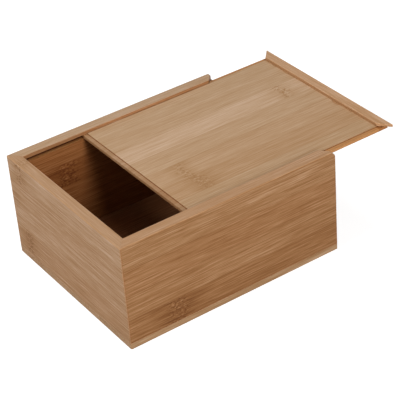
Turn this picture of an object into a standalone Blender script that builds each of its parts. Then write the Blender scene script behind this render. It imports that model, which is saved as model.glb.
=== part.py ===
"""Box with a sliding lid, in laminated bamboo.

Metres, +Z up, +X towards the end where the lid draws out, -Y towards the near side.
The origin is the centre of the underside. The lid is drawn out by lid_opening from shut.
"""

import math

import bmesh
import bpy

# The outside of the box
box_length = 0.180
box_width = 0.151
box_height = 0.084

# The boards, and the glue between them
side_thickness = 0.0095
end_thickness = 0.0085
bottom_thickness = 0.005
glue_line = 0.0003

# The groove that the lid runs in, and the rim of wall above it
rim_height = 0.0027
groove_height = 0.0030
groove_depth = 0.0038

# The lid: a panel with a thin tongue round three edges, and a pull strip across the fourth
slide_clearance = 0.0003
tongue_side_clearance = 0.0008
tongue_end_clearance = 0.0007
field_rise = 0.0007
field_clearance = 0.0004
strip_width = 0.0080
strip_end_clearance = 0.0006
lid_opening = 0.0534

# The rounded upper corners of the side walls at the open end
ear_run = 0.0042
ear_drop = 0.0065
ear_steps = 12

# The rounding of the boards' sharp edges
corner_radius = 0.0010
arris_radius = 0.0006
strip_corner_radius = 0.0005
fine_radius = 0.0003
edge_segments = 3

# How far a cutter runs past what it cuts
overrun = 0.004

# Places worked out from the sizes above
half_length = box_length / 2
half_width = box_width / 2
inner_closed_x = -half_length + end_thickness
inner_half_width = half_width - side_thickness
wall_bottom = bottom_thickness + glue_line
groove_top = box_height - rim_height
groove_floor = groove_top - groove_height
tongue_top = groove_top - slide_clearance
tongue_bottom = groove_floor + slide_clearance
tongue_front = inner_closed_x - groove_depth + tongue_end_clearance
tongue_half_width = inner_half_width + groove_depth - tongue_side_clearance
field_top = tongue_top + field_rise
field_front = inner_closed_x + field_clearance
field_half_width = inner_half_width - field_clearance
strip_bottom = field_top + glue_line
mitre_length = math.hypot(end_thickness, side_thickness)

# Colours of the boards, as linear RGB
honey = (0.44, 0.26, 0.13, 1.0)
caramel = (0.36, 0.18, 0.08, 1.0)
straw = (0.47, 0.29, 0.16, 1.0)


def clear_scene():
    for item in list(bpy.data.objects):
        bpy.data.objects.remove(item, do_unlink=True)


def new_collection(name):
    collection = bpy.data.collections.new(name)
    bpy.context.scene.collection.children.link(collection)
    return collection


def give_wood(board, colour):
    """Gives a board its own satin wood material."""
    material = bpy.data.materials.new(board.name + "_wood")
    material.use_nodes = True
    shader = material.node_tree.nodes["Principled BSDF"]
    shader.inputs["Base Color"].default_value = colour
    shader.inputs["Roughness"].default_value = 0.5
    shader.inputs["Metallic"].default_value = 0.0
    board.data.materials.append(material)


def link_shape(name, shape, collection):
    """Turns a bmesh into a named object at the origin."""
    mesh = bpy.data.meshes.new(name)
    shape.to_mesh(mesh)
    shape.free()
    solid = bpy.data.objects.new(name, mesh)
    collection.objects.link(solid)
    return solid


def make_block(name, low, high, collection):
    """A cuboid between two corners, with its origin at its centre."""
    shape = bmesh.new()
    bmesh.ops.create_cube(shape, size=1.0)
    size = [top - bottom for bottom, top in zip(low, high)]
    bmesh.ops.scale(shape, vec=size, verts=shape.verts)
    block = link_shape(name, shape, collection)
    block.location = [(bottom + top) / 2 for bottom, top in zip(low, high)]
    return block


def make_outline(name, points, thickness, collection):
    """A closed outline in X and Y, extruded by half its thickness up and down, as a mesh."""
    curve = bpy.data.curves.new(name, "CURVE")
    curve.dimensions = "2D"
    curve.fill_mode = "BOTH"
    curve.extrude = thickness / 2
    spline = curve.splines.new("POLY")
    spline.points.add(len(points) - 1)
    for point, (x, y) in zip(spline.points, points):
        point.co = (x, y, 0, 1)
    spline.use_cyclic_u = True
    guide = bpy.data.objects.new(name + "_guide", curve)
    collection.objects.link(guide)
    evaluated = guide.evaluated_get(bpy.context.evaluated_depsgraph_get())
    mesh = bpy.data.meshes.new_from_object(evaluated)
    bpy.data.objects.remove(guide)
    shape = bmesh.new()
    shape.from_mesh(mesh)
    bpy.data.meshes.remove(mesh)
    bmesh.ops.remove_doubles(shape, verts=shape.verts, dist=glue_line / 100)
    bmesh.ops.dissolve_limit(
        shape, angle_limit=math.radians(0.1), verts=shape.verts, edges=shape.edges
    )
    bmesh.ops.recalc_face_normals(shape, faces=shape.faces)
    return link_shape(name, shape, collection)


def round_edges(board, radius_of):
    """Rounds each edge by radius_of(first end, second end), or leaves it sharp where that is 0."""
    corners = [corner.co + board.location for corner in board.data.vertices]
    radii = [radius_of(*(corners[index] for index in edge.vertices)) for edge in board.data.edges]
    weights = board.data.attributes.new("bevel_weight_edge", "FLOAT", "EDGE")
    for weight, radius in zip(weights.data, radii):
        weight.value = radius / max(radii)
    bevel = board.modifiers.new("Rounded edges", "BEVEL")
    bevel.limit_method = "WEIGHT"
    bevel.width = max(radii)
    bevel.segments = edge_segments


def edge_at(first, second, axis, value):
    """Whether both ends of an edge lie at a value along an axis."""
    near = glue_line / 10
    return abs(first[axis] - value) < near and abs(second[axis] - value) < near


def as_cutter(cutter):
    cutter.hide_render = True
    cutter.display_type = "WIRE"
    return cutter


def cut(board, cutter):
    boolean = board.modifiers.new("Cut " + cutter.name, "BOOLEAN")
    boolean.operation = "DIFFERENCE"
    boolean.solver = "EXACT"
    boolean.object = cutter


def mitre_cutter(name, toward_x, toward_y, from_side, cutters):
    """The block past one corner's mitre plane, as seen from the side wall or from the end wall.

    The plane runs from the box's outer corner to its inner corner. toward_x and toward_y
    are +1 or -1 and pick the corner. Each wall stops half a glue line short of the plane.
    """
    sign = 1 if from_side else -1
    away_x = sign * toward_x * side_thickness / mitre_length
    away_y = -sign * toward_y * end_thickness / mitre_length
    size = 4 * mitre_length
    half = (size / 2, size / 2, box_height / 2 + overrun)
    block = make_block(name, [-value for value in half], half, cutters)
    shift = (size - glue_line) / 2
    block.location = (
        toward_x * (half_length - end_thickness / 2) + away_x * shift,
        toward_y * (half_width - side_thickness / 2) + away_y * shift,
        box_height / 2,
    )
    block.rotation_euler.z = math.atan2(away_y, away_x)
    return as_cutter(block)


def groove_cutter(cutters):
    """The flat slab that grooves three walls at once and runs out at the open end."""
    low = (inner_closed_x - groove_depth, -inner_half_width - groove_depth, groove_floor)
    high = (half_length + overrun, inner_half_width + groove_depth, groove_top)
    return as_cutter(make_block("lid_groove", low, high, cutters))


def ear_cutter(cutters):
    """What is rounded off the side walls' upper corners at the open end, across both walls."""
    points = [
        (half_length - ear_run, box_height + overrun),
        (half_length + overrun, box_height + overrun),
        (half_length + overrun, box_height - ear_drop),
    ]
    for step in range(ear_steps + 1):
        turn = math.pi / 2 * (1 - step / ear_steps)
        x = half_length - ear_run + ear_run * math.sin(turn)
        z = box_height - ear_drop + ear_drop * math.cos(turn)
        points.append((x, z))
    ear = make_outline("ear_rounding", points, box_width + 2 * overrun, cutters)
    ear.rotation_euler.x = math.pi / 2
    return as_cutter(ear)


def side_wall(name, toward_y, box, cutters, groove, ear):
    """A long wall: mitred at both ends, grooved inside and rounded at its open upper corner."""
    outer = toward_y * half_width
    inner = toward_y * inner_half_width
    low = (-half_length, min(outer, inner), wall_bottom)
    high = (half_length, max(outer, inner), box_height)
    wall = make_block(name, low, high, box)

    def radius_of(first, second):
        if edge_at(first, second, 1, outer) and first.z != second.z:
            return corner_radius
        if edge_at(first, second, 2, box_height) and edge_at(first, second, 1, outer):
            return arris_radius
        if edge_at(first, second, 2, box_height) and edge_at(first, second, 1, inner):
            return fine_radius
        return 0

    round_edges(wall, radius_of)
    cut(wall, mitre_cutter(name + "_closed_mitre", -1, toward_y, True, cutters))
    cut(wall, mitre_cutter(name + "_open_mitre", 1, toward_y, True, cutters))
    cut(wall, groove)
    cut(wall, ear)
    give_wood(wall, caramel)


def end_wall(name, toward_x, top, box, cutters, groove=None):
    """A short wall, mitred at both ends. The closed end's is full height and grooved."""
    outer = toward_x * half_length
    inner = toward_x * (half_length - end_thickness)
    low = (min(outer, inner), -half_width, wall_bottom)
    high = (max(outer, inner), half_width, top)
    wall = make_block(name, low, high, box)

    def radius_of(first, second):
        if edge_at(first, second, 0, outer) and first.z != second.z:
            return corner_radius
        if edge_at(first, second, 2, top) and edge_at(first, second, 0, outer):
            return arris_radius
        if edge_at(first, second, 2, top) and edge_at(first, second, 0, inner):
            return fine_radius
        return 0

    round_edges(wall, radius_of)
    cut(wall, mitre_cutter(name + "_near_mitre", toward_x, -1, False, cutters))
    cut(wall, mitre_cutter(name + "_far_mitre", toward_x, 1, False, cutters))
    if groove:
        cut(wall, groove)
    give_wood(wall, honey)


def bottom_board(box):
    """The board glued under the walls, flush with their outer faces."""
    low = (-half_length, -half_width, 0)
    high = (half_length, half_width, bottom_thickness)
    board = make_block("bottom_board", low, high, box)

    def radius_of(first, second):
        if first.z != second.z:
            return corner_radius
        return arris_radius if edge_at(first, second, 2, 0) else 0

    round_edges(board, radius_of)
    give_wood(board, straw)


def lid_panel(box, cutters):
    """The sliding panel where it lies when shut, and the cutter that leaves its raised field."""
    low = (tongue_front, -tongue_half_width, tongue_bottom)
    high = (half_length, tongue_half_width, field_top)
    panel = make_block("lid_panel", low, high, box)

    def radius_of(first, second):
        upright = first.z != second.z
        return fine_radius if upright or edge_at(first, second, 2, tongue_bottom) else 0

    round_edges(panel, radius_of)
    rabbet_points = [
        (tongue_front - overrun, -tongue_half_width - overrun),
        (half_length + overrun, -tongue_half_width - overrun),
        (half_length + overrun, -field_half_width),
        (field_front, -field_half_width),
        (field_front, field_half_width),
        (half_length + overrun, field_half_width),
        (half_length + overrun, tongue_half_width + overrun),
        (tongue_front - overrun, tongue_half_width + overrun),
    ]
    rabbet = make_outline("lid_rabbet", rabbet_points, field_rise + overrun, cutters)
    rabbet.location.z = tongue_top + (field_rise + overrun) / 2
    cut(panel, as_cutter(rabbet))
    give_wood(panel, straw)
    return panel, rabbet


def lid_end_strip(box):
    """The pull strip where it lies when shut, its ends following the side walls' mitres."""
    inset = (strip_end_clearance - glue_line / 2) * mitre_length / end_thickness
    outer_reach = half_width - inset
    foot_reach = outer_reach - strip_width * side_thickness / end_thickness
    foot_x = half_length - strip_width
    points = [
        (foot_x, -foot_reach),
        (half_length, -outer_reach),
        (half_length, outer_reach),
        (foot_x, foot_reach),
    ]
    thickness = box_height - strip_bottom
    strip = make_outline("lid_end_strip", points, thickness, box)
    strip.location.z = strip_bottom + thickness / 2

    def radius_of(first, second):
        if first.z != second.z:
            return strip_corner_radius if edge_at(first, second, 0, half_length) else 0
        return fine_radius if edge_at(first, second, 2, box_height) else 0

    round_edges(strip, radius_of)
    give_wood(strip, straw)
    return strip


def draw_out_lid(pieces, box):
    """Hangs the lid's pieces on an empty on the slide's axis, drawn out from where they shut."""
    axis_height = (groove_floor + groove_top) / 2
    slide = bpy.data.objects.new("lid_slide", None)
    slide.empty_display_size = strip_width
    slide.location = (lid_opening, 0, axis_height)
    box.objects.link(slide)
    for piece in pieces:
        piece.parent = slide
        piece.location.z -= axis_height


def main():
    clear_scene()
    box = new_collection("Sliding lid box")
    cutters = new_collection("Cutters")
    groove = groove_cutter(cutters)
    ear = ear_cutter(cutters)
    side_wall("near_side_wall", -1, box, cutters, groove, ear)
    side_wall("far_side_wall", 1, box, cutters, groove, ear)
    end_wall("closed_end_wall", -1, box_height, box, cutters, groove)
    end_wall("open_end_wall", 1, groove_floor, box, cutters)
    bottom_board(box)
    panel, rabbet = lid_panel(box, cutters)
    strip = lid_end_strip(box)
    draw_out_lid([panel, rabbet, strip], box)


main()
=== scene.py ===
"""The looks of a laminated bamboo box with a sliding lid: its boards' finish, the glue in its joints,
a pale floor, soft studio light and the camera."""

import math

import bmesh
import bpy
from mathutils import Matrix, Vector


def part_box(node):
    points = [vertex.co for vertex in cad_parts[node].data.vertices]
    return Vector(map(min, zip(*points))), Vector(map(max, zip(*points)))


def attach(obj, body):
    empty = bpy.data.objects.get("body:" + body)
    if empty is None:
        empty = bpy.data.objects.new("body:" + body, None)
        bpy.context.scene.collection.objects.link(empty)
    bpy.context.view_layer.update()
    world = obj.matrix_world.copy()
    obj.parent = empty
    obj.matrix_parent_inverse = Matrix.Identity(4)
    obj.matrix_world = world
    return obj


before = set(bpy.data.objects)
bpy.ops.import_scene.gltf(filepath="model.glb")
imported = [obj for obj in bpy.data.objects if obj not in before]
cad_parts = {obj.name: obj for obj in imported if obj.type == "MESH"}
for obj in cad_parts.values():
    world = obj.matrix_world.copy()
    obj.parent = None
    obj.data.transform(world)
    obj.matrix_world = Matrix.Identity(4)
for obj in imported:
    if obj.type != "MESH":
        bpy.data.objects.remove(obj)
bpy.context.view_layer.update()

# The camera: its places in metres, its roll in degrees, its lens and sensor in millimetres
camera_eye = Vector((-0.4833, -0.7941, 0.6660))
camera_target = Vector((0.0165, -0.0098, 0.0419))
camera_roll = -4.70
camera_lens = 139.5
camera_sensor = 36.0

# The boards' sizes and places, read from the frame
side_low, side_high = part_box("near_side_wall")
end_low, end_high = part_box("closed_end_wall")
low_end_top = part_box("open_end_wall")[1].z
bottom_low, bottom_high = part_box("bottom_board")
panel_low, panel_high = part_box("lid_panel")
strip_low, strip_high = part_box("lid_end_strip")
side_thickness = side_high.y - side_low.y
end_thickness = end_high.x - end_low.x
glue_line = side_low.z - bottom_high.z

# The lid's groove in the walls, and the ears in which the rims over it slope down at the open end
groove_depth = 0.0038
groove_height = 0.0030
groove_top = low_end_top + groove_height
# Where the painted light on the groove's floor and the painted shade at its back begin and end, as shares
# of the groove's depth and of the ear's run
groove_lip_share = 0.05
groove_back_shares = (0.6, 0.8)
ear_run = 0.0042
ear_start = side_high.x - ear_run
ear_cover_shares = (-0.5, 0.25)

# The tongue that steps down round the lid's raised field, and the painted shade line at the foot of the
# step
field_step = 0.0007
side_inset = 0.0034
front_inset = 0.0035
foot_line_width = 0.0009
low_tongue_shares = (0.1, 0.5)

# The bamboo slats that the boards are laminated from
slat_width = 0.0200
half_slat = slat_width / 2
seam_width = 0.0004
slat_draw = 0.37
millimetres_per_metre = 1000.0

# The layers of a slat's grain: their sizes along and across the slat in millimetres
wave_grain = {"long_size": 80.0, "fine_size": 40.0, "detail": 1.0}
drift_grain = {"long_size": 150.0, "fine_size": 5.0}
streak_grain = {"long_size": 110.0, "fine_size": 1.3}
fibre_grain = {"long_size": 26.0, "fine_size": 0.75, "detail": 3.0, "roughness": 0.7}
bundle_grain = {"long_size": 30.0, "fine_size": 0.9, "detail": 0.0}
bundle_limits = (0.62, 0.72)

# How far the grain shifts from slat to slat and bends within one, in millimetres
slat_shift = 900.0
wave_bend = 0.8

# How much each layer adds to a slat's tone or takes from it, and between what tones the sum is held
drift_tone = 0.6
streak_tone = 1.3
fibre_tone = 2.9
bundle_tone = 0.15
seam_tone = 0.5
lowest_tone = -1.4
highest_tone = 0.9

# How a tone changes red and blue, as shares of its change of green, and how slats differ in hue
red_share = 0.68
blue_share = 1.60
warm_slat = (1.02, 0.99, 0.98, 1.0)
cool_slat = (0.99, 1.00, 1.00, 1.0)

# The boards' satin surface
roughness_tones = (-0.6, 0.5)
dark_roughness = 0.68
pale_roughness = 0.56
satin_level = 0.20
grain_relief = {"Strength": 0.25, "Distance": 0.0002}

# A knuckle's mark: its wandering line, in millimetres, its specks and the fibres that trail from it
wander_grain = {"long_size": 25.0, "fine_size": 6.0}
wander_reach = 9.0
speck_grain = {"long_size": 2.4, "fine_size": 1.4, "roughness": 0.7}
dark_speck_limits = (0.50, 0.64)
pale_speck_limits = (0.46, 0.34)
pale_speck_share = 0.35
knot_strength = 0.8
haze_strength = 0.16
trail_grain = {"long_size": 18.0, "fine_size": 1.1}
trail_limits = (0.48, 0.66)

# From where to where a mark fades, in shares of its reach along the slat and of half the slat's width
knot_reach_shares = (0.2, 1.1)
haze_reach_shares = (0.3, 2.6)
trail_reach_shares = (0.5, 4.5)
knuckle_edge_shares = (0.9, 1.02)

# The steepness from which a face counts as facing a direction
facing_limits = (0.55, 0.9)

# How wide the boards' arrises are sanded, and the part of that width that is sanded fully
arris_width = 0.001
arris_core_share = 0.2

# How each board is laminated: the place of its first seam, the seed of its slats, and its contrasts
slats_of = {
    "near_side_wall": {"First Seam": 0.0045, "Seed": 60769.0, "Contrast": 0.80, "Slat Contrast": 0.33},
    "far_side_wall": {"First Seam": 0.0045, "Seed": 72551.0, "Contrast": 0.80, "Slat Contrast": 0.33},
    "closed_end_wall": {"First Seam": 0.0075, "Seed": 105756.0, "Contrast": 0.65, "Slat Contrast": 0.45},
    "open_end_wall": {"First Seam": 0.0020, "Seed": 11.0, "Contrast": 0.65, "Slat Contrast": 0.45},
    "bottom_board": {"First Seam": -0.0760, "Seed": 14.0, "Contrast": 0.60, "Slat Contrast": 0.30},
    "lid_panel": {"First Seam": -0.0715, "Seed": 84230.0, "Contrast": 0.36, "Slat Contrast": 0.95},
    "lid_end_strip": {
        "First Seam": strip_low.x - half_slat, "Seed": 6.0, "Contrast": 0.50, "Slat Contrast": 0.30,
    },
}

# The knuckles of each board: the place along it, the slat, and the mark's reach, strength and trail
knuckles_of = {
    "near_side_wall": [(-0.0500, 0, 0.0105, 2.2, 0.25)],
    "far_side_wall": [(-0.0470, 2, 0.0105, 2.2, 0.25)],
    "closed_end_wall": [(0.0575, 0, 0.0060, 1.5, 0.10), (0.0590, 3, 0.0060, 1.5, 0.10)],
    "open_end_wall": [(-0.0200, 2, 0.0060, 1.5, 0.10)],
    "bottom_board": [(0.0400, 3, 0.0060, 1.0, 0.10)],
    "lid_panel": [
        (0.1162, 4, 0.0055, 2.2, 0.10),
        (-0.0035, 2, 0.0055, 2.2, 0.10),
        (0.0000, 1, 0.0065, 2.4, 0.10),
    ],
    "lid_end_strip": [],
}

# The glue in the joints, set back a little from the boards' faces, and how it varies
glue_setback = 0.00008
glue_corner_setback = 0.0006
glue_fit = 0.00002
glue_bead_width = 0.0010
glue_corner_points = 4
glue_noise_scale = 300.0
glue_noise_limits = (0.2, 0.8)
glossy_glue_roughness = 0.35
matt_glue_roughness = 0.55

# The painted warm shade on the lid along the foot of its strip, uneven in width
strip_foot_shade_narrow = 0.0007
strip_foot_shade_wide = 0.0060
strip_foot_shade_noise_scale = 60.0
strip_foot_shade_noise_limits = (0.50, 0.75)
strip_foot_shade_strength = 0.9

# The floor
floor_radius = 6.0
floor_sides = 64
floor_gap = 0.0002
floor_colour = (0.62, 0.62, 0.62, 1.0)
floor_roughness = 0.9
floor_glow = 0.72

# The light, with the way each lamp shines, its width and height in metres and its power in watts
white = (1.0, 1.0, 1.0, 1.0)
world_light = 0.13
lamp_distance = 1.6
lamp_target = Vector((0.0, 0.0, 0.05))
lamps = {
    "front_lamp": ((0.03, 0.92, -0.37), (0.30, 1.00), 20.8),
    "left_lamp": ((0.85, -0.05, -0.52), (0.60, 0.60), 15.0),
    "top_lamp": ((-0.05, -0.30, -0.95), (0.70, 0.70), 6.6),
    "fill_lamp": ((0.43, 0.68, -0.59), (0.50, 0.50), 0.6),
}


def srgb(red, green, blue):
    """A colour as a screen shows it, 0 to 255, turned into linear light with alpha."""
    def linear(value):
        share = value / 255
        return share / 12.92 if share <= 0.04045 else ((share + 0.055) / 1.055) ** 2.4

    return (linear(red), linear(green), linear(blue), 1.0)


# The boards' colours on their broad faces and, where they differ, on their top edges; the paler top colours
# are partly the edge grain's own and partly painted light, standing in for the stronger light on top
wall_colour = srgb(140, 99, 61)
near_wall_lit_top = srgb(170, 130, 94)
far_wall_lit_top = srgb(176, 143, 111)
end_colour = srgb(160, 123, 88)
end_lit_top = srgb(171, 133, 98)
lid_colour = srgb(182, 148, 114)
strip_colour = srgb(189, 149, 113)
bottom_colour = srgb(154, 120, 85)
edge_grain_share = 0.5

# The glue's colours
dark_glue = srgb(168, 124, 84)
pale_glue = srgb(190, 150, 112)

# Shades that multiply those colours where a board is cut, stepped down, sanded or left unsanded; and
# painted shade and painted light: darker on the inner faces, at the back of the lid's groove, at the foot
# of the lid's step and along the foot of its strip, and lighter on the rim's inner face and the groove's
# floor
inner_wall_painted_shade = (1.00, 0.76, 0.56, 1.0)
inner_bottom_painted_shade = (1.00, 0.70, 0.56, 1.0)
rim_painted_light = (1.24, 1.56, 2.24, 1.0)
groove_floor_painted_light = (1.60, 1.36, 1.05, 1.0)
groove_back_painted_shade = (0.25, 0.18, 0.12, 1.0)
wall_arris_shade = (1.00, 0.95, 0.89, 1.0)
end_grain_shade = (0.84, 0.74, 0.64, 1.0)
side_tongue_shade = (0.95, 0.71, 0.46, 1.0)
front_tongue_shade = (0.79, 0.71, 0.64, 1.0)
foot_line_painted_shade = (0.55, 0.38, 0.24, 1.0)
strip_foot_painted_shade = (0.72, 0.58, 0.42, 1.0)
strip_edge_shade = (0.73, 0.66, 0.57, 1.0)
sanded_shade = (1.06, 1.05, 1.03, 1.0)


def plug(tree, socket, value):
    """Links a socket to an input, or sets the input to a constant."""
    if isinstance(value, bpy.types.NodeSocket):
        tree.links.new(value, socket)
    else:
        socket.default_value = value


def add(tree, kind, inputs=None, **settings):
    """A node with its settings, and with a constant or a socket for each input named."""
    item = tree.nodes.new(kind)
    for name, value in settings.items():
        setattr(item, name, value)
    for key, value in (inputs or {}).items():
        plug(tree, item.inputs[key], value)
    return item


def calc(tree, operation, *values):
    """The result of a Math node."""
    return add(tree, "ShaderNodeMath", dict(enumerate(values)), operation=operation).outputs[0]


def calc_vector(tree, operation, *values):
    """The result of a Vector Math node."""
    return add(tree, "ShaderNodeVectorMath", dict(enumerate(values)), operation=operation).outputs[0]


def half(tree, value):
    return calc(tree, "DIVIDE", value, 2.0)


def minus(tree, value):
    return calc(tree, "MULTIPLY", value, -1.0)


def swing(tree, noise, size):
    """Noise turned into a value that swings about zero."""
    return calc(tree, "MULTIPLY", calc(tree, "SUBTRACT", noise, 0.5), size)


def ease(tree, value, low, high, out_low=0.0, out_high=1.0):
    """A value eased from out_low at low to out_high at high, and held beyond them."""
    limits = {"Value": value, "From Min": low, "From Max": high, "To Min": out_low, "To Max": out_high}
    return add(tree, "ShaderNodeMapRange", limits, interpolation_type="SMOOTHSTEP").outputs["Result"]


def mix_colour(tree, share, first, second, blend="MIX"):
    """Two colours mixed or blended by a share."""
    item = add(tree, "ShaderNodeMix", data_type="RGBA", blend_type=blend)
    plug(tree, item.inputs["Factor"], share)
    plug(tree, item.inputs[6], first)
    plug(tree, item.inputs[7], second)
    return item.outputs[2]


def tint(tree, share, colour, shade):
    """A colour multiplied by a shade, as far as a share says."""
    return mix_colour(tree, share, colour, shade, "MULTIPLY")


def plain_noise(tree, place, scale, detail=2.0, roughness=0.5):
    """Noise that is the same in all directions."""
    texture = {"Vector": place, "Scale": scale, "Detail": detail, "Roughness": roughness}
    return add(tree, "ShaderNodeTexNoise", texture).outputs[0]


def grain_noise(tree, along, across, depth, long_size, fine_size, detail=2.0, roughness=0.6):
    """Noise drawn out along the grain: long_size and fine_size are its sizes in millimetres."""
    place = add(tree, "ShaderNodeCombineXYZ", {
        "X": calc(tree, "DIVIDE", along, long_size),
        "Y": calc(tree, "DIVIDE", across, fine_size),
        "Z": calc(tree, "DIVIDE", depth, fine_size),
    })
    return plain_noise(tree, place.outputs[0], 1.0, detail, roughness)


def in_millimetres(tree, length):
    return calc(tree, "MULTIPLY", length, millimetres_per_metre)


def split_grain(tree, grain):
    """A place on a board in millimetres along, across and through its slats."""
    return [in_millimetres(tree, part) for part in add(tree, "ShaderNodeSeparateXYZ", {0: grain}).outputs]


def new_group(name, inputs, outputs):
    """An empty shader node group, with the sockets that its inputs give and its outputs take."""
    group = bpy.data.node_groups.new(name, "ShaderNodeTree")
    for label, kind in inputs.items():
        group.interface.new_socket(label, in_out="INPUT", socket_type="NodeSocket" + kind)
    for label, kind in outputs.items():
        group.interface.new_socket(label, in_out="OUTPUT", socket_type="NodeSocket" + kind)
    return group, group.nodes.new("NodeGroupInput").outputs, group.nodes.new("NodeGroupOutput").inputs


def make_slats_group():
    """Bamboo slats glued edge to edge: a tone for each slat, long streaks, fibres and seams.

    Grain is a place on the board in metres: along the slats, across them and through the board.
    Marks darkens where it is above zero and lightens where it is below.
    """
    group, ask, give = new_group(
        "Bamboo slats",
        {
            "Grain": "Vector",
            "Middle Color": "Color",
            "Contrast": "Float",
            "First Seam": "Float",
            "Seed": "Float",
            "Slat Contrast": "Float",
            "Marks": "Float",
        },
        {"Color": "Color", "Roughness": "Float", "Height": "Float"},
    )
    along, across, depth = split_grain(group, ask["Grain"])
    from_first = calc(group, "SUBTRACT", across, in_millimetres(group, ask["First Seam"]))
    place = calc(group, "DIVIDE", from_first, slat_width * millimetres_per_metre)
    slat = calc(group, "FLOOR", place)
    key = add(group, "ShaderNodeCombineXYZ", {"X": slat, "Y": ask["Seed"], "Z": slat_draw})
    chance = add(group, "ShaderNodeTexWhiteNoise", {"Vector": key.outputs[0]}, noise_dimensions="3D")
    chances = add(group, "ShaderNodeSeparateColor", {0: chance.outputs["Color"]}).outputs

    shifted = calc(group, "ADD", along, calc(group, "MULTIPLY", chances[1], slat_shift))
    wave = grain_noise(group, shifted, across, depth, **wave_grain)
    bent = calc(group, "ADD", across, swing(group, wave, wave_bend))
    drift = grain_noise(group, shifted, bent, depth, **drift_grain)
    streaks = grain_noise(group, shifted, bent, depth, **streak_grain)
    fibres = grain_noise(group, shifted, bent, depth, **fibre_grain)
    bundles = ease(group, grain_noise(group, shifted, bent, depth, **bundle_grain), *bundle_limits)

    in_slat = calc(group, "SUBTRACT", place, slat)
    to_seam = calc(group, "MINIMUM", in_slat, calc(group, "SUBTRACT", 1.0, in_slat))
    seam = ease(group, to_seam, 0.0, seam_width / slat_width, 1.0, 0.0)

    tone = swing(group, chance.outputs["Value"], ask["Slat Contrast"])
    for layer, size in ((drift, drift_tone), (streaks, streak_tone), (fibres, fibre_tone)):
        tone = calc(group, "ADD", tone, swing(group, layer, size))
    for layer, size in ((bundles, bundle_tone), (seam, seam_tone)):
        tone = calc(group, "SUBTRACT", tone, calc(group, "MULTIPLY", layer, size))
    tone = calc(group, "SUBTRACT", tone, ask["Marks"])
    limits = {"Value": tone, "Min": lowest_tone, "Max": highest_tone}
    tone = add(group, "ShaderNodeClamp", limits).outputs[0]

    strength = calc(group, "MULTIPLY", tone, ask["Contrast"])
    shade = add(group, "ShaderNodeCombineColor", {
        0: calc(group, "EXPONENT", calc(group, "MULTIPLY", strength, red_share)),
        1: calc(group, "EXPONENT", strength),
        2: calc(group, "EXPONENT", calc(group, "MULTIPLY", strength, blue_share)),
    })
    colour = tint(group, 1.0, ask["Middle Color"], shade.outputs[0])
    hue = mix_colour(group, chances[2], warm_slat, cool_slat)
    group.links.new(tint(group, 1.0, colour, hue), give["Color"])
    group.links.new(ease(group, tone, *roughness_tones, dark_roughness, pale_roughness), give["Roughness"])
    relief = calc(group, "ADD", swing(group, fibres, 1.0), swing(group, streaks, 1.0))
    relief = calc(group, "SUBTRACT", relief, calc(group, "ADD", seam, ask["Marks"]))
    group.links.new(relief, give["Height"])
    return group


def make_knuckle_group():
    """The mark of a bamboo knuckle across one slat: knotted dark and pale specks in a faint haze, with
    dark fibres that trail away from them."""
    group, ask, give = new_group(
        "Bamboo knuckle",
        {
            "Grain": "Vector",
            "Along": "Float",
            "Across": "Float",
            "Reach": "Float",
            "Strength": "Float",
            "Trail": "Float",
        },
        {"Marks": "Float"},
    )
    along, across, depth = split_grain(group, ask["Grain"])
    from_line = calc(group, "SUBTRACT", along, in_millimetres(group, ask["Along"]))
    from_middle = calc(group, "SUBTRACT", across, in_millimetres(group, ask["Across"]))
    off_middle = calc(group, "ABSOLUTE", from_middle)
    off_middle = calc(group, "DIVIDE", off_middle, half_slat * millimetres_per_metre)
    within = ease(group, off_middle, *knuckle_edge_shares, 1.0, 0.0)
    wander = swing(group, grain_noise(group, along, across, depth, **wander_grain), wander_reach)
    off_line = calc(group, "ABSOLUTE", calc(group, "ADD", from_line, wander))
    share = calc(group, "DIVIDE", off_line, in_millimetres(group, ask["Reach"]))

    specks = grain_noise(group, along, across, depth, **speck_grain)
    dark = ease(group, specks, *dark_speck_limits)
    pale = ease(group, specks, *pale_speck_limits)
    knots = calc(group, "SUBTRACT", dark, calc(group, "MULTIPLY", pale, pale_speck_share))
    core = ease(group, share, *knot_reach_shares, knot_strength, 0.0)
    haze = ease(group, share, *haze_reach_shares, haze_strength, 0.0)
    fibres = ease(group, grain_noise(group, along, across, depth, **trail_grain), *trail_limits)
    beside = calc(group, "MULTIPLY", ease(group, share, *trail_reach_shares, 1.0, 0.0), ask["Trail"])

    marks = calc(group, "MULTIPLY_ADD", knots, core, haze)
    marks = calc(group, "MULTIPLY_ADD", fibres, beside, marks)
    marks = calc(group, "MULTIPLY", marks, calc(group, "MULTIPLY", within, ask["Strength"]))
    group.links.new(marks, give["Marks"])
    return group


def make_arris_group():
    """How near a place is to an edge of a cuboid board: 1 on the edge and 0 past Width from it."""
    group, ask, give = new_group(
        "Sanded arris",
        {"Place": "Vector", "Centre": "Vector", "Half Size": "Vector", "Width": "Float"},
        {"Mask": "Float"},
    )
    off = calc_vector(group, "ABSOLUTE", calc_vector(group, "SUBTRACT", ask["Place"], ask["Centre"]))
    left = calc_vector(group, "SUBTRACT", ask["Half Size"], off)
    x, y, z = add(group, "ShaderNodeSeparateXYZ", {0: left}).outputs
    second = calc(group, "MINIMUM", calc(group, "MAXIMUM", x, y), calc(group, "MAXIMUM", y, z))
    second = calc(group, "MINIMUM", second, calc(group, "MAXIMUM", x, z))
    mask = ease(group, calc(group, "DIVIDE", second, ask["Width"]), arris_core_share, 1.0, 1.0, 0.0)
    group.links.new(mask, give["Mask"])
    return group


groups = {
    "slats": make_slats_group(),
    "knuckle": make_knuckle_group(),
    "arris": make_arris_group(),
}


def use_group(tree, name, inputs):
    """What a shader group gives for its inputs."""
    return add(tree, "ShaderNodeGroup", inputs, node_tree=groups[name]).outputs


def new_material(name):
    """A material, its node tree and its shader."""
    material = bpy.data.materials.new(name)
    material.use_nodes = True
    return material, material.node_tree, material.node_tree.nodes["Principled BSDF"]


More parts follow.
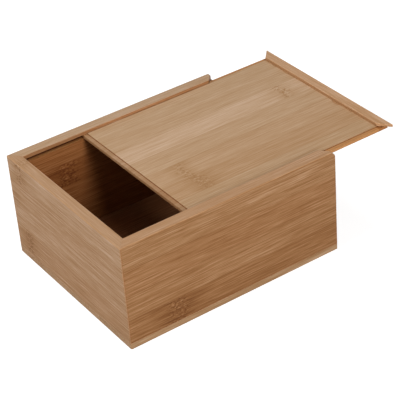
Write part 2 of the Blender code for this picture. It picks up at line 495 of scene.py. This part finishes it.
class Board:
    """The finish of one board, built up a layer at a time over its slats. axes names the directions
    along, across and through its slats, and colour is their middle colour."""

    def __init__(self, node, axes, colour):
        self.node = node
        self.material, self.tree, self.shader = new_material(node + "_bamboo")
        spot = add(self.tree, "ShaderNodeTexCoord")
        self.place = spot.outputs["Object"]
        self.parts = add(self.tree, "ShaderNodeSeparateXYZ", {0: self.place}).outputs
        normal = add(self.tree, "ShaderNodeSeparateXYZ", {0: spot.outputs["Normal"]}).outputs
        order = ["XYZ".index(axis) for axis in axes]
        self.facing = [normal[axis] for axis in order]
        ordered = {i: self.parts[axis] for i, axis in enumerate(order)}
        self.grain = add(self.tree, "ShaderNodeCombineXYZ", ordered).outputs[0]
        self.lay_slats(colour)

    def mark_knuckles(self):
        """The marks of the board's knuckles, added up."""
        marks = 0.0
        for along, slat, reach, strength, trail in knuckles_of[self.node]:
            across = slats_of[self.node]["First Seam"] + slat * slat_width + half_slat
            mark = use_group(self.tree, "knuckle", {
                "Grain": self.grain, "Along": along, "Across": across, "Reach": reach,
                "Strength": strength, "Trail": trail,
            })["Marks"]
            marks = calc(self.tree, "ADD", marks, mark)
        return marks

    def lay_slats(self, colour):
        """Begins the finish with the slats' colour, roughness and relief."""
        inputs = {"Grain": self.grain, "Middle Color": colour, "Marks": self.mark_knuckles()}
        inputs.update(slats_of[self.node])
        laid = use_group(self.tree, "slats", inputs)
        bump = add(self.tree, "ShaderNodeBump", {"Height": laid["Height"], **grain_relief})
        self.colour = laid["Color"]
        plug(self.tree, self.shader.inputs["Roughness"], laid["Roughness"])
        plug(self.tree, self.shader.inputs["Normal"], bump.outputs[0])
        self.shader.inputs["Specular IOR Level"].default_value = satin_level

    def shade(self, mask, shade):
        self.colour = tint(self.tree, mask, self.colour, shade)

    def faces(self, direction, *limits):
        """The faces that look along the slats (0), across them (1) or through them (2), within
        limits that are each 0 or 1."""
        steep = calc(self.tree, "ABSOLUTE", self.facing[direction])
        mask = ease(self.tree, steep, *facing_limits)
        for limit in limits:
            mask = calc(self.tree, "MULTIPLY", mask, limit)
        return mask

    def shade_faces(self, direction, shade, *limits):
        self.shade(self.faces(direction, *limits), shade)

    def above_groove(self):
        return calc(self.tree, "GREATER_THAN", self.parts[2], groove_top)

    def paint_lit_top(self, base, colour):
        """Gives the top edge above the groove a paler colour, through which the grain shows faintly; the
        paleness is partly the edge grain's own and partly painted light standing in for the stronger light
        on top.
        """
        lightened = tint(self.tree, 1.0, self.colour, [value / below for value, below in zip(colour, base)])
        faint = mix_colour(self.tree, edge_grain_share, colour, lightened)
        self.colour = mix_colour(self.tree, self.faces(1, self.above_groove()), self.colour, faint)

    def shade_groove(self, off_middle, inner_face):
        """Paints light on the floor of the lid's groove, and paints shade on its back where the rim covers
        it.
        inner_face is how far the wall's inner face is off the box's middle."""
        above_floor = calc(self.tree, "GREATER_THAN", self.parts[2], low_end_top - glue_line)
        below_rim = calc(self.tree, "LESS_THAN", self.parts[2], groove_top + glue_line)
        within = calc(self.tree, "MULTIPLY", above_floor, below_rim)
        depth = calc(self.tree, "DIVIDE", calc(self.tree, "SUBTRACT", off_middle, inner_face), groove_depth)
        past_lip = ease(self.tree, depth, 0.0, groove_lip_share)
        before_back = calc(self.tree, "LESS_THAN", depth, 1 + groove_lip_share)
        in_groove = calc(self.tree, "MULTIPLY", calc(self.tree, "MULTIPLY", within, past_lip), before_back)
        # Painted light: the groove's floor is made lighter.
        self.shade_faces(1, groove_floor_painted_light, in_groove)
        # Painted shade: the back of the groove is darkened where the rim covers it, fading out at the ear.
        cover_end, bare_start = (ear_start + share * ear_run for share in ear_cover_shares)
        covered = ease(self.tree, self.parts[0], cover_end, bare_start, 1.0, 0.0)
        at_back = calc(self.tree, "MULTIPLY", ease(self.tree, depth, *groove_back_shares), covered)
        self.shade(calc(self.tree, "MULTIPLY", in_groove, at_back), groove_back_painted_shade)

    def shade_arrises(self, shade):
        low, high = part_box(self.node)
        mask = use_group(self.tree, "arris", {
            "Place": self.place, "Centre": (low + high) / 2, "Half Size": (high - low) / 2,
            "Width": arris_width,
        })["Mask"]
        self.shade(mask, shade)

    def finish(self):
        """Gives the CAD board its material."""
        plug(self.tree, self.shader.inputs["Base Color"], self.colour)
        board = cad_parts[self.node]
        board.data.materials.clear()
        board.data.materials.append(self.material)


def dress_side_wall(node, lit_top_colour):
    wall = Board(node, "XZY", wall_colour)
    off_middle = calc(wall.tree, "ABSOLUTE", wall.parts[1])
    inside = calc(wall.tree, "LESS_THAN", off_middle, bottom_high.y - side_thickness / 2)
    # Partly painted light: the wall's top is made paler than its faces.
    wall.paint_lit_top(wall_colour, lit_top_colour)
    # Painted shade: the walls' inner faces are made darker and warmer than their outer faces.
    wall.shade_faces(2, inner_wall_painted_shade, inside)
    # Painted light: the inner face above the groove is made lighter, near the top of the box's inside.
    wall.shade_faces(2, rim_painted_light, inside, wall.above_groove())
    wall.shade_groove(off_middle, bottom_high.y - side_thickness)
    wall.shade_faces(0, end_grain_shade)
    wall.shade_arrises(wall_arris_shade)
    wall.finish()


def dress_end_wall(node):
    wall = Board(node, "YZX", end_colour)
    off_middle = calc(wall.tree, "ABSOLUTE", wall.parts[0])
    # Partly painted light: the wall's top is made paler than its faces.
    wall.paint_lit_top(end_colour, end_lit_top)
    wall.shade_groove(off_middle, bottom_high.x - end_thickness)
    wall.shade_faces(0, end_grain_shade)
    wall.shade_arrises(sanded_shade)
    wall.finish()


def dress_bottom():
    board = Board("bottom_board", "XYZ", bottom_colour)
    upper_half = calc(board.tree, "GREATER_THAN", board.parts[2], bottom_high.z / 2)
    # Painted shade: the bottom board's upper face, the floor inside the box, is darkened.
    board.shade_faces(2, inner_bottom_painted_shade, upper_half)
    board.finish()


def paint_strip_foot_shade(panel):
    """Painted warm shade over the panel along the strip's foot, uneven in width."""
    tree = panel.tree
    noise = plain_noise(tree, panel.place, strip_foot_shade_noise_scale)
    reach = ease(tree, noise, *strip_foot_shade_noise_limits, strip_foot_shade_narrow, strip_foot_shade_wide)
    before_strip = calc(tree, "DIVIDE", calc(tree, "SUBTRACT", strip_low.x, panel.parts[0]), reach)
    panel.shade(ease(tree, before_strip, 0.0, 1.0, strip_foot_shade_strength, 0.0), strip_foot_painted_shade)


def shade_tongue(panel):
    """The tongue left unsanded, with a painted shade line where the raised field stands on it."""
    tree = panel.tree
    tongue_top = panel_high.z - field_step
    low_end, high_start = (tongue_top + share * field_step for share in low_tongue_shares)
    low_down = ease(tree, panel.parts[2], low_end, high_start, 1.0, 0.0)
    off_middle = calc(tree, "ABSOLUTE", panel.parts[1])
    past_side = calc(tree, "SUBTRACT", off_middle, panel_high.y - side_inset)
    past_front = calc(tree, "SUBTRACT", panel_low.x + front_inset, panel.parts[0])
    at_side = calc(tree, "GREATER_THAN", past_side, 0.0)
    at_front = calc(tree, "SUBTRACT", 1.0, at_side)
    past_foot = calc(tree, "MAXIMUM", past_side, past_front)
    at_foot = ease(tree, past_foot, 0.0, foot_line_width, 1.0, 0.0)
    # Painted shade: a dark line on the step and the tongue where the raised field stands on it.
    places = ((at_side, side_tongue_shade), (at_front, front_tongue_shade), (at_foot, foot_line_painted_shade))
    for mask, shade in places:
        panel.shade(calc(tree, "MULTIPLY", low_down, mask), shade)


def dress_lid_panel():
    panel = Board("lid_panel", "XYZ", lid_colour)
    # Painted shade: warm darkening on the panel along the strip's foot.
    paint_strip_foot_shade(panel)
    shade_tongue(panel)
    panel.shade_faces(0, end_grain_shade)
    panel.finish()


def dress_strip():
    strip = Board("lid_end_strip", "YXZ", strip_colour)
    strip.shade_faces(1, strip_edge_shade)
    strip.shade_faces(0, end_grain_shade)
    strip.shade_arrises(sanded_shade)
    strip.finish()


def dress_boards():
    dress_side_wall("near_side_wall", near_wall_lit_top)
    dress_side_wall("far_side_wall", far_wall_lit_top)
    dress_end_wall("closed_end_wall")
    dress_end_wall("open_end_wall")
    dress_bottom()
    dress_lid_panel()
    dress_strip()


def glue_material():
    """Dry wood glue, amber and a little glossy."""
    material, tree, shader = new_material("wood_glue")
    spot = add(tree, "ShaderNodeTexCoord").outputs["Object"]
    noise = plain_noise(tree, spot, glue_noise_scale)
    roughness = ease(tree, noise, *glue_noise_limits, glossy_glue_roughness, matt_glue_roughness)
    plug(tree, shader.inputs["Base Color"], mix_colour(tree, noise, dark_glue, pale_glue))
    plug(tree, shader.inputs["Roughness"], roughness)
    return material


def link_object(name, data):
    item = bpy.data.objects.new(name, data)
    bpy.context.scene.collection.objects.link(item)
    return item


def link_shape(name, shape, material):
    """An object of one material, made of a finished shape."""
    mesh = bpy.data.meshes.new(name)
    shape.to_mesh(mesh)
    shape.free()
    mesh.materials.append(material)
    return link_object(name, mesh)


def new_geometry_tree(name, labels):
    """A Geometry Nodes tree with a named input for each size, the sockets that its inputs give and
    the identifiers by which they are set."""
    tree = bpy.data.node_groups.new(name, "GeometryNodeTree")
    identifiers = {}
    for label in labels:
        socket = tree.interface.new_socket(label, in_out="INPUT", socket_type="NodeSocketFloat")
        identifiers[label] = socket.identifier
    tree.interface.new_socket("Geometry", in_out="OUTPUT", socket_type="NodeSocketGeometry")
    return tree, tree.nodes.new("NodeGroupInput").outputs, identifiers


def end_tree(tree, geometry, material):
    """Ends a Geometry Nodes tree in real, coloured geometry."""
    real = add(tree, "GeometryNodeRealizeInstances", {0: geometry}).outputs[0]
    painted = add(tree, "GeometryNodeSetMaterial", {"Geometry": real, "Material": material}).outputs[0]
    add(tree, "NodeGroupOutput", {0: painted})


def grow_piece(name, tree, identifiers, values, body):
    """Evaluates a Geometry Nodes tree into a plain mesh that rides on a body."""
    host = link_object(name + "_host", bpy.data.meshes.new(name + "_host"))
    modifier = host.modifiers.new("Grow", "NODES")
    modifier.node_group = tree
    for label, value in values.items():
        modifier[identifiers[label]] = value
    evaluated = host.evaluated_get(bpy.context.evaluated_depsgraph_get())
    mesh = bpy.data.meshes.new_from_object(evaluated)
    host.modifiers.clear()
    bpy.data.objects.remove(host)
    mesh.name = name
    mesh.validate()
    piece = link_object(name, mesh)
    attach(piece, body)


def block(tree, low, high):
    """A cuboid between two corners, each a list of numbers or sockets."""
    sizes = [calc(tree, "SUBTRACT", top, bottom) for bottom, top in zip(low, high)]
    middles = [half(tree, calc(tree, "ADD", top, bottom)) for bottom, top in zip(low, high)]
    size = add(tree, "ShaderNodeCombineXYZ", dict(enumerate(sizes))).outputs[0]
    middle = add(tree, "ShaderNodeCombineXYZ", dict(enumerate(middles))).outputs[0]
    cube = add(tree, "GeometryNodeMeshCube", {"Size": size}).outputs["Mesh"]
    return add(tree, "GeometryNodeTransform", {"Geometry": cube, "Translation": middle}).outputs[0]


def mitre_sheets(tree, ask):
    """A thin upright sheet of glue on the diagonal of each of the four mitres."""
    grid = add(tree, "GeometryNodeMeshGrid", {
        "Size X": calc(tree, "SUBTRACT", ask["Length"], ask["End Thickness"]),
        "Size Y": calc(tree, "SUBTRACT", ask["Width"], ask["Side Thickness"]),
        "Vertices X": 2, "Vertices Y": 2,
    }).outputs["Mesh"]
    corners = add(tree, "GeometryNodeMeshToPoints", {"Mesh": grid}).outputs[0]
    position = add(tree, "GeometryNodeInputPosition").outputs[0]
    parts = add(tree, "ShaderNodeSeparateXYZ", {0: position}).outputs
    outward_x = calc(tree, "MULTIPLY", calc(tree, "SIGN", parts[0]), ask["End Thickness"])
    outward_y = calc(tree, "MULTIPLY", calc(tree, "SIGN", parts[1]), ask["Side Thickness"])
    turn = add(tree, "ShaderNodeCombineXYZ", {"Z": calc(tree, "ARCTAN2", outward_y, outward_x)}).outputs[0]
    squares = [calc(tree, "POWER", ask[label], 2.0) for label in ("End Thickness", "Side Thickness")]
    half_mitre = half(tree, calc(tree, "SQRT", calc(tree, "ADD", *squares)))
    half_sheet = half(tree, ask["Sheet"])
    sheet = block(
        tree,
        [calc(tree, "SUBTRACT", ask["Setback"], half_mitre), minus(tree, half_sheet), ask["Low"]],
        [calc(tree, "SUBTRACT", half_mitre, ask["Corner Setback"]), half_sheet, ask["High"]],
    )
    sheets = add(tree, "GeometryNodeInstanceOnPoints", {
        "Points": corners, "Instance": sheet, "Rotation": turn,
    }).outputs[0]
    return add(tree, "GeometryNodeRealizeInstances", {0: sheets}).outputs[0]


def mitre_glue(tree, ask):
    """The mitres' glue, from the bottom board up. The lid's groove is cut out of it, and at the open
    end so is all that would stand above the groove's floor."""
    inset_x = calc(tree, "SUBTRACT", ask["End Thickness"], ask["Groove Depth"])
    inset_y = calc(tree, "SUBTRACT", ask["Side Thickness"], ask["Groove Depth"])
    groove_x = calc(tree, "SUBTRACT", half(tree, ask["Length"]), inset_x)
    groove_y = calc(tree, "SUBTRACT", half(tree, ask["Width"]), inset_y)
    floor = calc(tree, "SUBTRACT", ask["Groove Floor"], ask["Setback"])
    top = calc(tree, "ADD", calc(tree, "ADD", ask["Groove Floor"], ask["Groove Height"]), ask["Setback"])
    groove = block(
        tree,
        [minus(tree, groove_x), minus(tree, groove_y), floor],
        [ask["Length"], groove_y, top],
    )
    above = block(
        tree,
        [0.0, minus(tree, ask["Width"]), floor],
        [ask["Length"], ask["Width"], calc(tree, "MULTIPLY", ask["High"], 2.0)],
    )
    cut = mitre_sheets(tree, ask)
    for cutter in (groove, above):
        inputs = {"Mesh 1": cut, "Mesh 2": cutter}
        cut = add(tree, "GeometryNodeMeshBoolean", inputs, operation="DIFFERENCE").outputs["Mesh"]
    return cut


def bottom_glue(tree, ask):
    """A flat bead of glue round the bottom board, between it and the walls."""
    inset = calc(tree, "ADD", ask["Setback"], half(tree, ask["Bead"]))
    twice = calc(tree, "MULTIPLY", inset, 2.0)
    route = add(tree, "GeometryNodeCurvePrimitiveQuadrilateral", {
        "Width": calc(tree, "SUBTRACT", ask["Length"], twice),
        "Height": calc(tree, "SUBTRACT", ask["Width"], twice),
    }).outputs[0]
    corners = {"Curve": route, "Count": glue_corner_points, "Radius": inset}
    rounded = add(tree, "GeometryNodeFilletCurve", corners, mode="POLY").outputs[0]
    section = add(tree, "GeometryNodeCurvePrimitiveQuadrilateral", {
        "Width": ask["Bead"], "Height": ask["Sheet"],
    }).outputs[0]
    sweep = {"Curve": rounded, "Profile Curve": section}
    bead = add(tree, "GeometryNodeCurveToMesh", sweep).outputs[0]
    height = calc(tree, "SUBTRACT", ask["Low"], half(tree, ask["Sheet"]))
    place = add(tree, "ShaderNodeCombineXYZ", {"Z": height}).outputs[0]
    return add(tree, "GeometryNodeTransform", {"Geometry": bead, "Translation": place}).outputs[0]


def lay_box_glue(material):
    """The glue of the box's mitres and of its bottom board."""
    values = {
        "Length": bottom_high.x - bottom_low.x,
        "Width": bottom_high.y - bottom_low.y,
        "End Thickness": end_thickness,
        "Side Thickness": side_thickness,
        "Sheet": glue_line - 2 * glue_fit,
        "Low": side_low.z - glue_fit,
        "High": side_high.z - glue_setback,
        "Setback": glue_setback,
        "Corner Setback": glue_corner_setback,
        "Groove Depth": groove_depth,
        "Groove Floor": low_end_top,
        "Groove Height": groove_height,
        "Bead": glue_bead_width,
    }
    tree, ask, identifiers = new_geometry_tree("Box glue", values)
    joined = tree.nodes.new("GeometryNodeJoinGeometry")
    for layer in (mitre_glue(tree, ask), bottom_glue(tree, ask)):
        tree.links.new(layer, joined.inputs[0])
    end_tree(tree, joined.outputs[0], material)
    grow_piece("box_glue", tree, identifiers, values, "box")


def lay_strip_glue(material):
    """The film of glue under the lid's strip, over the panel's raised field."""
    reach = panel_high.y - side_inset - glue_setback
    low = Vector((strip_low.x + glue_setback, -reach, panel_high.z + glue_fit))
    high = Vector((strip_high.x - glue_setback, reach, strip_low.z - glue_fit))
    shape = bmesh.new()
    bmesh.ops.create_cube(shape, size=1.0)
    bmesh.ops.scale(shape, vec=high - low, verts=shape.verts)
    bmesh.ops.translate(shape, vec=(high + low) / 2, verts=shape.verts)
    piece = link_shape("strip_glue", shape, material)
    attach(piece, "lid")


def seen_rays(tree):
    """1 where the camera sees, also by way of a reflection or through glass, and 0 for other light."""
    path = add(tree, "ShaderNodeLightPath").outputs
    seen = calc(tree, "MAXIMUM", path["Is Camera Ray"], path["Is Glossy Ray"])
    return calc(tree, "MAXIMUM", seen, path["Is Transmission Ray"])


def lay_floor():
    """A plain pale floor, bright to the camera, that keeps the box's shadow."""
    material, tree, shader = new_material("pale_floor")
    shader.inputs["Base Color"].default_value = floor_colour
    shader.inputs["Roughness"].default_value = floor_roughness
    shader.inputs["Specular IOR Level"].default_value = 0.0
    shader.inputs["Emission Color"].default_value = white
    plug(tree, shader.inputs["Emission Strength"], calc(tree, "MULTIPLY", seen_rays(tree), floor_glow))
    shape = bmesh.new()
    bmesh.ops.create_circle(shape, cap_ends=True, radius=floor_radius, segments=floor_sides)
    floor = link_shape("floor", shape, material)
    floor.location.z = -floor_gap


def light_world():
    """A white surround for the camera that lights the box only faintly."""
    world = bpy.data.worlds.new("studio")
    world.use_nodes = True
    tree = world.node_tree
    back = tree.nodes["Background"]
    back.inputs["Color"].default_value = white
    plug(tree, back.inputs["Strength"], ease(tree, seen_rays(tree), 0.0, 1.0, world_light, 1.0))
    bpy.context.scene.world = world


def place_lamp(name, direction, size, power):
    """A soft lamp that shines along a direction at the middle of the box."""
    data = bpy.data.lights.new(name, "AREA")
    data.shape = "RECTANGLE"
    data.size, data.size_y = size
    data.energy = power
    lamp = link_object(name, data)
    travel = Vector(direction).normalized()
    lamp.location = lamp_target - travel * lamp_distance
    lamp.rotation_mode = "QUATERNION"
    lamp.rotation_quaternion = travel.to_track_quat("-Z", "Y")


def place_camera():
    data = bpy.data.cameras.new("camera")
    data.lens = camera_lens
    data.sensor_width = camera_sensor
    camera = link_object("camera", data)
    toward = (camera_target - camera_eye).normalized()
    upright = toward.to_track_quat("-Z", "Y").to_matrix()
    turned = upright @ Matrix.Rotation(math.radians(camera_roll), 3, "Z")
    camera.matrix_world = Matrix.Translation(camera_eye) @ turned.to_4x4()
    bpy.context.scene.camera = camera


dress_boards()
wood_glue = glue_material()
lay_box_glue(wood_glue)
lay_strip_glue(wood_glue)
lay_floor()
light_world()
for name, (direction, size, power) in lamps.items():
    place_lamp(name, direction, size, power)
place_camera()

bpy.context.scene.view_settings.view_transform = "Standard"
